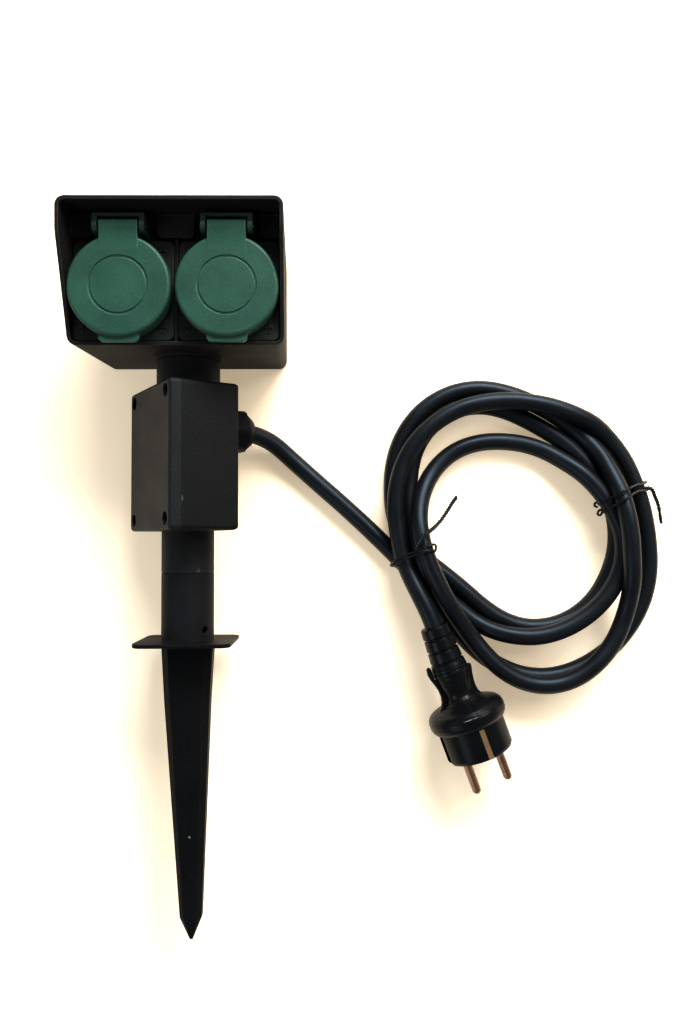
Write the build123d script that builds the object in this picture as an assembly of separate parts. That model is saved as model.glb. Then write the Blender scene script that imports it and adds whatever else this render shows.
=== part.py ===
from build123d import *
import math
import os

os.makedirs("parts", exist_ok=True)

# Garden socket spike lying on its back. Millimetres.
# X to the right, Y from the spike's tip to the head, Z up from the surface it lies on.

# ---------------------------------------------------------------- dimensions
ZA = 32.7            # height of the axis of neck, lower tube and spike
BOX_TURN = 58.7      # turn of the junction box about that axis, degrees

# head
HX0, HXS = 50.9, 0.035        # half width at z = 0 and its growth per mm
HB0, HBS = 120.9, -0.0386     # lower face Y at z = 0 and its slope
HT0, HTS = 181.7, 0.0382      # roof Y at z = 0 and its slope
HTOP = 92.0                   # height of the untrimmed shell
WALL = 1.8                    # head wall
BACK = 2.5                    # thickness of the back plate
PANEL0, PANEL1 = 63.0, 65.0   # front panel, back and front face
HR = 4.5                      # outer corner radius
CX = 26.05                    # outlet centres at X = +-CX
CY = 145.4
LIDY = 145.2                  # lid centre
HINGE_Y, HINGE_Z = 174.0, 77.0

# outlet
PLATE = 50.0
SCREW_SP = 19.0               # half of the screw spacing
WELL_R = 19.6                 # inner radius of the well
WELL_OUT = 21.5
COLLAR_OUT = 22.4
COLLAR_TOP = 74.5
FLOOR0, FLOOR1 = 54.0, 56.5

# lid
LID_R = 25.1
LID_SKIRT_IN = 23.6
LID_Z0, LID_Z1, LID_Z2 = 71.2, 76.8, 79.2

# neck
NECK_R = 16.75
SPIGOT_R = 13.0
HEAD_HOLE_R = 13.06
BORE_R = 8.0

# junction box (local frame: x across, y along the axis, z out of the cover)
BX, BY0, BY1 = 30.4, 27.4, 102.8
BZ0, BZP, BZ1 = -15.5, 15.4, 21.7
BCR = 2.4                     # vertical corners of the box
BWALL = 2.5
SX, SY0, SY1 = 24.0, 33.2, 97.0
GLAND_Y = 82.1

# lower tube and spike
TUBE_R = 13.75
TUBE_END = 5.5
SOCK_R = 12.0
PLUG_IN_R = 11.9

# cord
CORD_R = 4.85

# ---------------------------------------------------------------- helpers
def box(x0, x1, y0, y1, z0, z1):
    return Pos((x0 + x1) / 2, (y0 + y1) / 2, (z0 + z1) / 2) * Box(abs(x1 - x0), abs(y1 - y0), abs(z1 - z0))


def cz(r, z0, z1, x=0.0, y=0.0):
    return Pos(x, y, (z0 + z1) / 2) * Cylinder(r, abs(z1 - z0))


def cy(r, y0, y1, x=0.0, z=0.0):
    return Pos(x, (y0 + y1) / 2, z) * Rot(90, 0, 0) * Cylinder(r, abs(y1 - y0))


def cx(r, x0, x1, y=0.0, z=0.0):
    return Pos((x0 + x1) / 2, y, z) * Rot(0, 90, 0) * Cylinder(r, abs(x1 - x0))


def rrect(w, h, r, x, y, z0, z1):
    return extrude(Pos(x, y, z0) * RectangleRounded(w, h, r), z1 - z0)


def rounded(shape, radius, picker, label):
    # rounds the picked edges and says so when the radius has to stay off
    try:
        out = fillet(picker(shape), radius)
        if out.is_valid and out.volume > 0:
            return out
    except Exception as err:
        print("no rounding:", label, str(err)[:60])
        return shape
    print("no rounding:", label)
    return shape


def unit(a, b):
    v = [b[i] - a[i] for i in range(3)]
    n = math.sqrt(sum(c * c for c in v))
    return [c / n for c in v], n


def tube(points, radius, label, radii=None):
    # round section along straight runs joined by tangent arcs
    rr = []
    for i in range(1, len(points) - 1):
        u, la = unit(points[i - 1], points[i])
        v, lb = unit(points[i], points[i + 1])
        turn = math.acos(max(-1, min(1, sum(u[k] * v[k] for k in range(3)))))
        rr.append(0.45 * min(la, lb) / math.tan(turn / 2))
    if radii:
        rr = radii
    print(label, "bend radii", [round(r, 1) for r in rr])
    if len(points) == 2:
        path = Line(*points)
    else:
        path = FilletPolyline(*points, radius=rr)
    start = path @ 0
    direction = path % 0
    face = Plane(origin=start, z_dir=direction) * Circle(radius)
    out = sweep(face, path=path)
    want = math.pi * radius * radius * path.length
    print(label, "length", round(path.length, 1), "volume against section x length", round(out.volume / want, 4))
    return out


def save(name, shape):
    solids = shape.solids()
    export_step(Compound(children=[s for s in solids]) if len(solids) > 1 else solids[0], "parts/" + name + ".step")
    print(name, len(solids))


def group(items):
    out = []
    for it in items:
        out += list(it.solids())
    return Compound(children=out)


# ---------------------------------------------------------------- head shell
def half_x(z):
    return HX0 + HXS * z


def low_y(z):
    return HB0 + HBS * z


def top_y(z):
    return HT0 + HTS * z


def head_section(z, off):
    w = 2 * (half_x(z) - off)
    y0, y1 = low_y(z) + off, top_y(z) - off
    return Pos(0, (y0 + y1) / 2, z) * RectangleRounded(w, y1 - y0, max(HR - off, 1.0))


def head_block(z0, z1, off):
    return loft([head_section(z0, off), head_section(z1, off)])


shell = head_block(0, HTOP, 0)
shell = rounded(shell, 1.0, lambda s: s.edges().filter_by_position(Axis.Z, -0.01, 0.01), "head back edge")
shell -= head_block(-1.0, PANEL0, WALL)
shell -= head_block(PANEL1, HTOP + 1, WALL)

# hood rim: low at the bottom, rising to the roof
rim = FilletPolyline((100, 69.3), (121, 69.3), (169, 87.4), (210, 88.6), radius=18)
rim_face = Plane.YZ * make_face(rim + Polyline((210, 88.6), (210, 130), (100, 130), (100, 69.3)))
shell -= extrude(rim_face, amount=80, both=True)

# boss round the neck hole, ribs, pads, posts
shell += cy(17.5, 117.8, 122.0, 0, ZA)
for sx in (-1, 1):
    shell += rrect(10.6, 12.2, 2.0, sx * 46.8, 177.4, PANEL1 - 0.5, 70.5)
    for yy in (127.3, 175.4):
        shell += cz(3.6, BACK, 22.0, sx * 45.2, yy)
        shell += box(sx * 45.2, sx * 50.0, yy - 1.2, yy + 1.2, BACK, 22.0)
shell += rrect(18.0, 12.2, 2.0, 0, 177.4, PANEL1 - 0.5, 70.5)
shell += box(-0.8, 0.8, 119.6, 172.0, PANEL1 - 0.5, 68.3)
for sx in (-1, 1):
    for dx in (-SCREW_SP, SCREW_SP):
        for dy in (-SCREW_SP, SCREW_SP):
            shell += cz(3.5, 55.0, PANEL0 + 0.5, sx * CX + dx, CY + dy)
# keep everything inside the outer form
shell = shell & (head_block(0, HTOP, 0) + cy(17.5, 117.8, 122.0, 0, ZA))
shell -= cy(HEAD_HOLE_R, 110, 125, 0, ZA)
for sx in (-1, 1):
    shell -= cz(22.5, PANEL0 - 1, PANEL1 + 1, sx * CX, CY)
    for dx in (-SCREW_SP, SCREW_SP):
        for dy in (-SCREW_SP, SCREW_SP):
            shell -= cz(1.4, 54.0, PANEL1 + 1, sx * CX + dx, CY + dy)
    for dx in (-8.0, 8.0):
        shell -= cz(1.5, 60.0, PANEL1 + 1, sx * CX + dx, 177.0)
    for yy in (127.3, 175.4):
        shell -= cz(1.2, 2.0, 16.0, sx * 45.2, yy)
save("head_housing", shell)

# back plate, let into the shell from behind and flush with its edge
plate = loft([head_section(0.0, WALL + 0.1), head_section(BACK, WALL + 0.1)])
bscrews = []
for sx in (-1, 1):
    for yy in (127.3, 175.4):
        plate -= cz(1.4, -1, 4, sx * 45.2, yy)
        plate -= Pos(sx * 45.2, yy, 0.95) * Cone(2.8, 1.4, 1.9)
        scr = Pos(sx * 45.2, yy, 1.15) * Cone(2.35, 1.25, 1.5) + cz(1.2, 1.5, 13.0, sx * 45.2, yy)
        scr -= box(sx * 45.2 - 1.9, sx * 45.2 + 1.9, yy - 0.35, yy + 0.35, 0.0, 1.1)
        scr -= box(sx * 45.2 - 0.35, sx * 45.2 + 0.35, yy - 1.9, yy + 1.9, 0.0, 1.1)
        bscrews.append(scr)
save("head_back", plate)
save("head_back_screws", group(bscrews))

# ---------------------------------------------------------------- outlets
for side, sx in (("left", -1), ("right", 1)):
    c = sx * CX
    # frame with plate, collar and well
    fr = rrect(PLATE, PLATE, 3.5, c, CY, 66.0, 68.5)
    fr = rounded(fr, 0.7, lambda s: s.edges().filter_by_position(Axis.Z, 68.49, 68.51), "plate edge")
    ring = cz(COLLAR_OUT, 68.0, COLLAR_TOP, c, CY)
    ring = rounded(ring, 0.8, lambda s: s.edges().filter_by_position(Axis.Z, COLLAR_TOP - 0.01, COLLAR_TOP + 0.01), "collar edge")
    fr += ring
    fr += cz(WELL_OUT, FLOOR0, 68.0, c, CY)
    fr -= cz(WELL_R, FLOOR1, COLLAR_TOP + 1, c, CY)
    for dx in (-9.5, 9.5):
        fr -= cz(3.0, FLOOR0 - 1, FLOOR1 + 1, c + dx, CY)
    for dy in (-1, 1):
        fr -= box(c - 3.5, c + 3.5, CY + dy * 18.6, CY + dy * 20.7, FLOOR0 - 1, 71.0)
    for dx in (-SCREW_SP, SCREW_SP):
        for dy in (-SCREW_SP, SCREW_SP):
            fr -= cz(1.7, 65, 70, c + dx, CY + dy)
            fr -= Pos(c + dx, CY + dy, 67.75) * Cone(1.7, 3.3, 1.61)
    save("socket_frame_" + side, fr)

    ga = rrect(PLATE, PLATE, 3.5, c, CY, 65.0, 66.0) - cz(21.8, 64, 67, c, CY)
    for dx in (-SCREW_SP, SCREW_SP):
        for dy in (-SCREW_SP, SCREW_SP):
            ga -= cz(1.8, 64, 67, c + dx, CY + dy)
    save("socket_gasket_" + side, ga)

    cb = cz(18.0, 40.0, FLOOR0, c, CY)
    cb = rounded(cb, 1.0, lambda s: s.edges().filter_by_position(Axis.Z, 39.99, 40.01), "carrier edge")
    for dx in (-9.5, 9.5):
        cb -= cz(3.1, 42.0, FLOOR0 + 1, c + dx, CY)
        cb -= cz(1.3, 39.0, 43.0, c + dx, CY)
    save("contact_base_" + side, cb)

    save("live_sleeves_" + side, group([cz(3.1, 42.0, FLOOR0, c + dx, CY) - cz(2.45, 43.0, FLOOR0 + 1, c + dx, CY) for dx in (-9.5, 9.5)]))

    yoke = box(c - 3.0, c + 3.0, CY - 20.55, CY + 20.55, 39.2, 40.0)
    for dy in (-1, 1):
        yoke += box(c - 3.0, c + 3.0, CY + dy * 19.75, CY + dy * 20.55, 39.2, 70.0)
    yoke -= cz(1.4, 38, 41, c, CY)
    save("earth_yoke_" + side, yoke)

    scr = []
    for dx in (-SCREW_SP, SCREW_SP):
        for dy in (-SCREW_SP, SCREW_SP):
            x, y = c + dx, CY + dy
            s1 = Pos(x, y, 67.7) * Cone(1.4, 3.0, 1.5) + cz(1.4, 57.0, 67.0, x, y)
            s1 -= box(x - 2.2, x + 2.2, y - 0.4, y + 0.4, 67.7, 69)
            s1 -= box(x - 0.4, x + 0.4, y - 2.2, y + 2.2, 67.7, 69)
            scr.append(s1)
    save("socket_screws_" + side, group(scr))

    # hinge bracket
    hf = box(c - 12.5, c + 12.5, 170.6, 179.9, 65.0, 67.0)
    hf += box(c - 12.5, c + 12.5, 178.5, 179.9, 66.0, 80.0)
    for dx in (-1, 1):
        x0, x1 = c + dx * 10.2, c + dx * 12.5
        ear = box(x0, x1, HINGE_Y - 3.4, 179.9, 66.0, HINGE_Z)
        ear += cx(3.9, min(x0, x1), max(x0, x1), HINGE_Y, HINGE_Z)
        ear += box(x0, x1, HINGE_Y, 179.9, HINGE_Z - 1, 80.0)
        ear -= box(x0 - 5, x1 + 5, 165, 170.6, 60, 90)
        hf += ear
    hf -= cx(1.25, c - 14, c + 14, HINGE_Y, HINGE_Z)
    for dx in (-8.0, 8.0):
        hf += cz(1.5, 60.5, 65.5, c + dx, 177.0)
    save("hinge_frame_" + side, hf)

    pin = cx(1.25, c - 13.4, c + 13.4, HINGE_Y, HINGE_Z)
    pin = rounded(pin, 0.4, lambda s: s.edges().filter_by(GeomType.CIRCLE), "hinge pin ends")
    save("hinge_pin_" + side, pin)

    # closing spring on the pin
    hel = Helix(pitch=1.25, height=6.25, radius=2.2, center=(c - 3.1, HINGE_Y, HINGE_Z), direction=(1, 0, 0))
    coil = sweep(Plane(origin=hel @ 0, z_dir=hel % 0) * Circle(0.4), path=hel)
    save("lid_spring_" + side, coil)

    # lid
    ld = cz(LID_R, LID_Z0, LID_Z2, c, LIDY)
    ld = rounded(ld, 1.7, lambda s: s.edges().filter_by_position(Axis.Z, LID_Z2 - 0.01, LID_Z2 + 0.01), "lid edge")
    ld -= cz(LID_SKIRT_IN, LID_Z0 - 1, LID_Z1, c, LIDY)
    ld -= box(c - 30, c + 30, 159.5, 175, LID_Z0 - 1, 75.2)
    ld -= cz(14.6, LID_Z2 - 0.5, LID_Z2 + 1, c, LIDY) - cz(13.4, LID_Z2 - 1, LID_Z2 + 2, c, LIDY)
    # hinge leaf: flat strap that rises over the barrel and ends just behind it
    leaf = [(159.0, 77.0), (159.0, 78.8), (173.5, 80.4), (176.1, 80.4), (176.9, 79.6), (177.4, 77.0), (174.0, 75.6), (169.4, 77.0)]
    strap = make_face(Polyline(*[(c - 9.3, y, z) for y, z in leaf], close=True))
    ld += extrude(strap, amount=18.6, dir=(1, 0, 0))
    ld += cx(3.4, c - 9.3, c + 9.3, HINGE_Y, HINGE_Z)
    # lift tab on the lower side
    tab = extrude(Pos(c, 124.0, 74.8) * RectangleRounded(19.8, 12.0, 2.5), 2.4)
    tab -= cz(LID_SKIRT_IN, 70, LID_Z1, c, LIDY)
    ld += tab
    ld -= cx(1.33, c - 12, c + 12, HINGE_Y, HINGE_Z)
    ld -= cx(2.9, c - 4.4, c + 4.4, HINGE_Y, HINGE_Z)
    ld -= box(c - 4.4, c + 4.4, HINGE_Y - 5, HINGE_Y + 5, 70, HINGE_Z)
    save("lid_" + side, ld)

    save("lid_seal_" + side, cz(23.4, 74.9, LID_Z1, c, LIDY) - cz(19.8, 74, 78, c, LIDY))

# wires in the head
wires = []
for y in (148.0, 151.5, 155.0):
    wires.append(tube([(-16.5, y, 39.9), (-16.5, y, 35.0), (16.5, y, 35.0), (16.5, y, 39.9)], 1.2, "link wire", [2.4, 2.4]))
save("head_link_wires", group(wires))

tail = cy(4.0, 126.6, 137.0, 0, ZA)
for x0, x1, y1 in ((-2.0, -20.0, 141.0), (0.0, -17.0, 138.5), (2.0, -14.0, 136.0)):
    pts = [(x0, 136.5, ZA), (x0, 141.0 + x0 * 0.9, ZA), (x1 + 0.5, y1 + 3.5, 34.6), (x1, y1 + 4.5, 39.3)]
    tail += tube(pts, 1.15, "riser core", [1.6, 1.6])
save("riser_tail", tail)

# ---------------------------------------------------------------- junction box
BOX = Pos(0, 0, ZA) * Rot(0, -BOX_TURN, 0)
BYC, BYL = (BY0 + BY1) / 2, BY1 - BY0

base = rrect(2 * BX, BYL, BCR, 0, BYC, BZ0, BZP)
# back edges: the form is cut to rounded sections across and along
base = base & (Pos(0, BY1 + 1, 0) * extrude(Plane.XZ * Pos(10, BZ0 + 30, 0) * RectangleRounded(2 * BX + 20, 60, 3.8), amount=BYL + 2))
base = base & (Pos(0, BY1 + 1, 0) * extrude(Plane.XZ * Pos(0, BZ0 + 30, 0) * RectangleRounded(2 * BX, 60, 1.3), amount=BYL + 2))
base = base & extrude(Plane.YZ * Pos(BYC, BZ0 + 30, 0) * RectangleRounded(BYL, 60, 3.0), amount=BX + 1, both=True)
base -= rrect(2 * (BX - BWALL), BYL - 2 * BWALL, 2.0, 0, BYC, BZ0 + BWALL, BZP + 1)
for x in (-SX, SX):
    for y in (SY0, SY1):
        base += cz(4.0, BZ0 + 1, BZP - 1.0, x, y)
base += cy(NECK_R, BY1 - 1.0, 117.5) - box(-20, 20, BY1 - 2, BY1, BZP, 30)
base = base - (box(-20, 20, BY1 - 2, BY1, -30, BZ0))
base += cy(SPIGOT_R, 117.0, 126.5)
base += cy(TUBE_R, BY0 + 1.0, TUBE_END) - box(-20, 20, BY0, BY0 + 2, BZP, 30)
base += cy(PLUG_IN_R, TUBE_END + 1, -24.0)
base -= cy(BORE_R, BY1 - BWALL - 1, 130)
base -= cy(10.0, -26, 24.0)
base -= cy(SPIGOT_R + 1, 122.3, 124.3) - cy(11.5, 120, 127)
base -= cy(SPIGOT_R + 1, 119.0, 121.0) - cy(11.2, 118, 122)
base -= rrect(59.5, BYL - 1.3, 3.4, 0, BYC, BZP - 1.0, BZP + 1) - rrect(57.1, BYL - 3.7, 2.2, 0, BYC, BZP - 2.0, BZP + 2)
base -= cz(BORE_R, BZ0 - 1, BZ0 + BWALL + 1, 0, GLAND_Y)
for x in (-SX, SX):
    for y in (SY0, SY1):
        base -= cz(1.45, -2.0, BZP + 1, x, y)
save("junction_base", BOX * base)

gas = rrect(59.5, BYL - 1.3, 3.4, 0, BYC, BZP - 1.0, BZP) - rrect(57.1, BYL - 3.7, 2.2, 0, BYC, BZP - 2.0, BZP + 1)
save("cover_gasket", BOX * gas)

cov = rrect(2 * BX, BYL, BCR, 0, BYC, BZP, BZ1)
cov = rounded(cov, 1.9, lambda s: s.edges().filter_by_position(Axis.Z, BZ1 - 0.01, BZ1 + 0.01), "cover edge")
cov -= rrect(2 * (BX - BWALL), BYL - 2 * BWALL, 2.0, 0, BYC, BZP - 1, BZ1 - BWALL)
cscr = []
for x in (-SX, SX):
    for y in (SY0, SY1):
        cov += cz(4.6, BZP, BZ1 - 1, x, y)
for x in (-SX, SX):
    for y in (SY0, SY1):
        cov -= cz(3.5, 17.0, BZ1 + 1, x, y)
        cov -= cz(1.8, BZP - 1, 18, x, y)
        s1 = cz(3.2, 17.0, 19.3, x, y) + cz(1.45, 1.0, 17.5, x, y)
        s1 = rounded(s1, 0.9, lambda s: s.edges().filter_by_position(Axis.Z, 19.29, 19.31), "cover screw")
        s1 -= box(x - 2.0, x + 2.0, y - 0.4, y + 0.4, 18.2, 20)
        s1 -= box(x - 0.4, x + 0.4, y - 2.0, y + 2.0, 18.2, 20)
        cscr.append(s1)
cov = cov & rrect(2 * BX, BYL, BCR, 0, BYC, BZP, BZ1)
save("junction_cover", BOX * cov)
save("cover_screws", BOX * group(cscr))

# snap ring and O-ring on the neck
nring = cy(16.5, 122.3, 124.3) - cy(11.5, 121, 126) - box(-3.0, 3.0, 121, 126, 8, 20)
save("neck_ring", BOX * nring)
save("neck_seal", BOX * (Pos(0, 120.0, 0) * Rot(90, 0, 0) * Torus(12.1, 0.9)))

# terminal block and wiring in the box
tb = rrect(27.0, 18.0, 1.5, 0, 53.0, BZ0 + BWALL, 12.0)
tscr = []
for x in (-9.0, 0.0, 9.0):
    tb -= cy(1.35, 50.0, 63.0, x, 3.0)
    tb -= cy(1.35, 50.0, 63.0, x, 9.0)
    for y in (48.0, 57.5):
        tb -= cz(1.9, 10.4, 13.0, x, y)
        s1 = cz(1.9, 10.4, 11.8, x, y) - box(x - 1.6, x + 1.6, y - 0.3, y + 0.3, 11.1, 13)
        tscr.append(s1)
save("terminal_block", BOX * tb)
save("terminal_screws", BOX * group(tscr))

cores = []
for x0, y0, xp in ((-2.2, 83.2, -9.0), (0.0, 79.8, 0.0), (2.2, 83.2, 9.0)):
    if xp:
        pts = [(x0, y0, -5.9), (x0, y0, 3.0), (xp, 67.0, 3.0), (xp, 53.0, 3.0)]
        cores.append(tube(pts, 1.3, "supply core", [3.4, 4.0]))
    else:
        cores.append(tube([(x0, y0, -5.9), (x0, y0, 3.0), (xp, 53.0, 3.0)], 1.3, "supply core", [3.4]))
save("supply_cores", BOX * group(cores))

riser = cy(4.0, 92.0, 126.2)
for x0, z0, xp in ((-2.2, -0.6, -9.0), (0.0, 2.0, 0.0), (2.2, -0.6, 9.0)):
    pts = [(x0, 92.5, z0), (x0, 88.5, z0), (xp, 76.5, 9.0), (xp, 53.0, 9.0)]
    riser += tube(pts, 1.3, "riser core", [3.0, 5.0])
save("riser_cable", BOX * riser)

# ---------------------------------------------------------------- cord gland (along -z of the box frame)
GL = BOX * Pos(0, GLAND_Y, BZ0) * Rot(180, 0, 0)      # local z now points out of the back face


def hexa(af, z0, z1):
    return extrude(Pos(0, 0, z0) * RegularPolygon(af / 2, 6, major_radius=False), z1 - z0)


gb = (hexa(21.4, 0.0, 5.0) & cz(11.7, 0, 5.0)) + cz(8.0, -8.5, 1.0) + cz(8.8, 4.0, 11.0)
gb -= cz(CORD_R + 0.15, -10, 6.0)
gb -= cz(7.2, 5.0, 12.0)
save("gland_body", GL * gb)

nut = (hexa(22.4, 5.3, 15.5) & cz(12.0, 5.3, 15.5)) + cz(10.2, 15.0, 17.0) + Pos(0, 0, 18.8) * Cone(10.2, 7.4, 3.6)
nut = rounded(nut, 1.0, lambda s: s.edges().filter_by_position(Axis.Z, 20.59, 20.61).sort_by(SortBy.RADIUS)[-1:], "gland dome")
nut -= cz(8.8, 4.0, 11.2)
nut -= cz(7.2, 11.0, 17.5)
nut -= cz(CORD_R + 0.15, 11, 22)
nut -= Pos(0, 0, 19.0) * Cone(CORD_R + 0.15, 6.2, 3.4)
save("gland_nut", GL * nut)
save("gland_seal", GL * (cz(7.2, 5.1, 17.3) - cz(CORD_R + 0.05, 4, 18)))
save("gland_locknut", GL * (hexa(20.0, -5.5, -2.5) - cz(8.0, -8, 0)))

# ---------------------------------------------------------------- spike
sp = cy(TUBE_R, 5.2, -30.5, 0, ZA)
sp -= cy(SOCK_R, 6.0, -27.0, 0, ZA)
# drain hole
sp -= Pos(0, -24.2, ZA) * Rot(0, 50, 0) * Pos(0, 0, 12.5) * Cylinder(1.9, 8)
fl = extrude(Plane.XZ * Pos(0, ZA, 0) * RectangleRounded(50.0, 47.0, 5.5), amount=2.0)
fl = Pos(0, -30.0, 0) * fl
fl = rounded(fl, 0.6, lambda s: s.edges().group_by(Axis.Y)[0], "flange edge")
sp += fl


LEAN_Y, LEAN = -62.0, 0.0200        # the moulding is slightly warped: its lower two thirds lean to +X


def lean(y):
    return max(0.0, LEAN_Y - y) * LEAN


def blade(y, w, zt, zb, ch, inset=0.0):
    # section of the blade: flat front, bevelled long edges, open to the back
    h = w / 2 - inset
    c1 = min(ch, h * 0.7)
    t, b = ZA + zt - inset, ZA - zb
    pts = [(-h, b), (-h, t - c1), (-h + c1, t), (h - c1, t), (h, t - c1), (h, b)]
    wire = Polyline(*[(x + lean(y), y, z) for x, z in pts], close=True)
    return make_face(wire)


def between(a, b, k):
    return [a[i] + (b[i] - a[i]) * k for i in range(len(a))]


B0, B1, B2 = [27.2, 6.0, 6.5, 3.8], [11.3, 3.4, 3.6, 2.2], [1.6, 0.8, 0.8, 0.4]
bl = loft([blade(-31.0, *B0), blade(LEAN_Y, *between(B0, B1, (LEAN_Y + 31.0) / -143.0)), blade(-174.0, *B1)], ruled=True)
bl += loft([blade(-173.9, *B1), blade(-185.1, *B2)])
C0, C1 = [27.2, 6.0, 7.5, 3.8, 2.6], [12.0, 3.5, 5.0, 2.2, 2.2]
bl -= loft([blade(-33.0, *C0), blade(LEAN_Y, *between(C0, C1, (LEAN_Y + 33.0) / -135.0)), blade(-168.0, *C1)], ruled=True)
# stiffening ribs in the open back
for y in (-60.0, -90.0, -120.0, -148.0):
    w, zt, zb, ch = between(B0, B1, (y + 31.0) / -143.0)
    bl += box(lean(y) - w / 2 + 0.6, lean(y) + w / 2 - 0.6, y - 0.9, y + 0.9, ZA - zb + 0.4, ZA + 1.2)


def rib(y, h, z0, z1):
    x = lean(y)
    return make_face(Polyline((x - h, y, ZA + z0), (x + h, y, ZA + z0), (x + h, y, ZA + z1), (x - h, y, ZA + z1), close=True))


bl += loft([rib(-32.0, 1.1, -6.4, 4.5), rib(LEAN_Y, 1.05, -5.8, 4.1), rib(-171.0, 0.9, -3.5, 2.5)], ruled=True)
sp += bl
save("spike", sp)

# ---------------------------------------------------------------- cord
lead_pts = [(5.13, 82.1, 29.58), (38.88, 82.1, 9.06), (52.9, 68.9, CORD_R), (66.0, 57.0, CORD_R), (88.0, 37.6, CORD_R), (118.0, 7.0, CORD_R)]
save("cord_lead", tube(lead_pts, CORD_R, "cord lead", [34.0, 48.0, 900.0, 250.0]))

# outer shape of the coil: four turns, stacked two and three high
OUT1 = [(193.0, -63.7), (184.6, -62.5), (174.6, -58.7), (153.0, -42.5), (137.0, -24.5), (126.4, -4.5), (115.4, 3.5), (111.8, 7.9),
        (110.7, 12.7), (108.5, 23.1), (105.8, 47.9), (106.6, 63.9), (109.6, 76.7), (114.8, 87.5), (123.8, 98.7), (135.8, 107.3),
        (147.8, 111.9), (159.8, 113.6), (173.4, 112.1), (186.2, 107.9), (198.6, 102.1), (214.6, 97.0), (228.2, 91.1), (236.9, 83.9),
        (245.7, 73.1), (252.5, 59.5), (257.3, 44.7), (261.0, 23.5), (261.5, 5.1), (258.6, -10.1), (252.2, -24.5), (240.2, -40.2),
        (219.0, -56.2), (206.6, -62.1), (201.0, -63.3)]
GAP_LOW = [(194.2, -50.5), (207.4, -48.5), (215.8, -45.3), (220.6, -42.2), (226.6, -35.5), (231.2, -28.1), (234.4, -19.7),
           (236.1, -9.3), (227.4, -18.9), (219.0, -25.7), (209.0, -31.4), (199.8, -34.8), (191.4, -36.5), (181.0, -36.7),
           (168.2, -34.4), (159.4, -31.1), (165.4, -38.8), (171.0, -43.7), (182.6, -48.7)]
HOLE = [(186.2, -22.5), (195.0, -22.7), (203.8, -20.7), (213.0, -16.1), (220.5, -9.7), (225.9, -2.5), (231.9, 11.1), (233.8, 22.7),
        (232.8, 28.3), (228.6, 37.6), (219.8, 50.3), (213.0, 56.9), (198.6, 67.2), (189.4, 71.1), (178.6, 73.2), (166.6, 73.5),
        (155.8, 71.7), (149.0, 68.7), (142.6, 64.0), (138.0, 58.7), (133.5, 51.1), (130.2, 41.9), (129.1, 35.5), (129.5, 26.7),
        (132.1, 15.5), (169.4, -15.4), (177.8, -20.2)]
GAP_TOP = [(125.8, 57.4), (131.6, 66.3), (138.2, 73.0), (145.8, 78.0), (155.4, 81.7), (166.6, 83.3), (178.6, 82.9), (190.6, 80.9),
           (202.0, 76.7), (187.4, 85.4), (175.4, 91.1), (164.6, 93.9), (156.2, 93.1), (145.0, 88.9), (134.2, 81.5), (130.2, 75.6),
           (127.7, 69.9)]
# second layer, where turns lie on turns
OUT2 = [(193.0, -63.7), (181.8, -61.7), (169.8, -55.7), (158.2, -45.3), (143.8, -26.9), (138.0, -25.7), (126.9, -5.7), (120.2, 13.8),
        (117.8, 9.9), (113.6, 9.5), (111.0, 11.9), (109.4, 17.9), (107.1, 35.5), (107.3, 48.7), (109.9, 61.5), (115.0, 73.7),
        (122.0, 83.1), (132.2, 92.4), (143.0, 98.7), (155.4, 102.9), (175.0, 105.1), (197.0, 102.4), (209.0, 99.1), (224.6, 93.0),
        (231.2, 89.1), (233.0, 86.3), (231.8, 82.0), (227.8, 80.4), (207.4, 89.4), (191.0, 93.7), (173.8, 95.4), (155.8, 93.0),
        (143.1, 87.9), (131.9, 79.5), (123.6, 69.1), (118.5, 56.3), (116.7, 45.5), (117.0, 34.7), (119.6, 37.9), (121.7, 47.1),
        (125.8, 57.1), (130.2, 58.8), (134.0, 55.9), (134.2, 52.7), (130.4, 42.7), (129.1, 35.9), (129.5, 27.1), (131.4, 17.9),
        (134.4, 9.5), (141.5, -5.3), (157.0, -28.5), (157.9, -24.1), (161.4, -22.1), (179.4, -26.8), (192.2, -26.6), (205.0, -22.5),
        (216.6, -15.4), (226.6, -5.3), (232.0, 4.3), (234.1, 11.5), (234.5, 18.7), (233.4, 26.3), (230.8, 33.5), (220.8, 49.1),
        (214.6, 55.5), (205.4, 62.5), (204.6, 68.3), (208.6, 70.8), (221.0, 62.8), (229.4, 53.8), (222.0, 73.1), (226.2, 77.5),
        (231.6, 74.3), (235.4, 66.3), (240.5, 52.3), (244.4, 27.9), (246.1, -5.7), (243.7, -22.5), (235.9, -39.3), (223.3, -52.9),
        (209.0, -61.3), (201.0, -63.3)]
# third layer
TOP_A = [(145.0, -26.6), (142.5, -24.9), (133.1, -10.1), (122.8, 12.7), (120.2, 23.5), (119.4, 33.5), (120.0, 39.1), (123.0, 41.7),
         (126.3, 41.5), (128.7, 39.1), (129.7, 25.5), (133.2, 12.3), (140.8, -4.1), (151.0, -20.5), (149.8, -25.3), (147.4, -26.6)]
TOP_B = [(239.4, -15.0), (237.1, -13.3), (236.1, -10.9), (235.2, 22.3), (230.4, 52.3), (231.7, 55.9), (235.0, 57.5), (238.6, 56.1),
         (240.5, 52.3), (245.0, 20.3), (245.7, -11.3), (243.4, -14.6)]
LAY1, LAY2, LAY3 = 10.0, 19.5, 28.9


def slab(points, z0, z1):
    face = make_face(Polyline(*[(x, y, z0) for x, y in points], close=True))
    return extrude(face, amount=z1 - z0, dir=(0, 0, 1))


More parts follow.
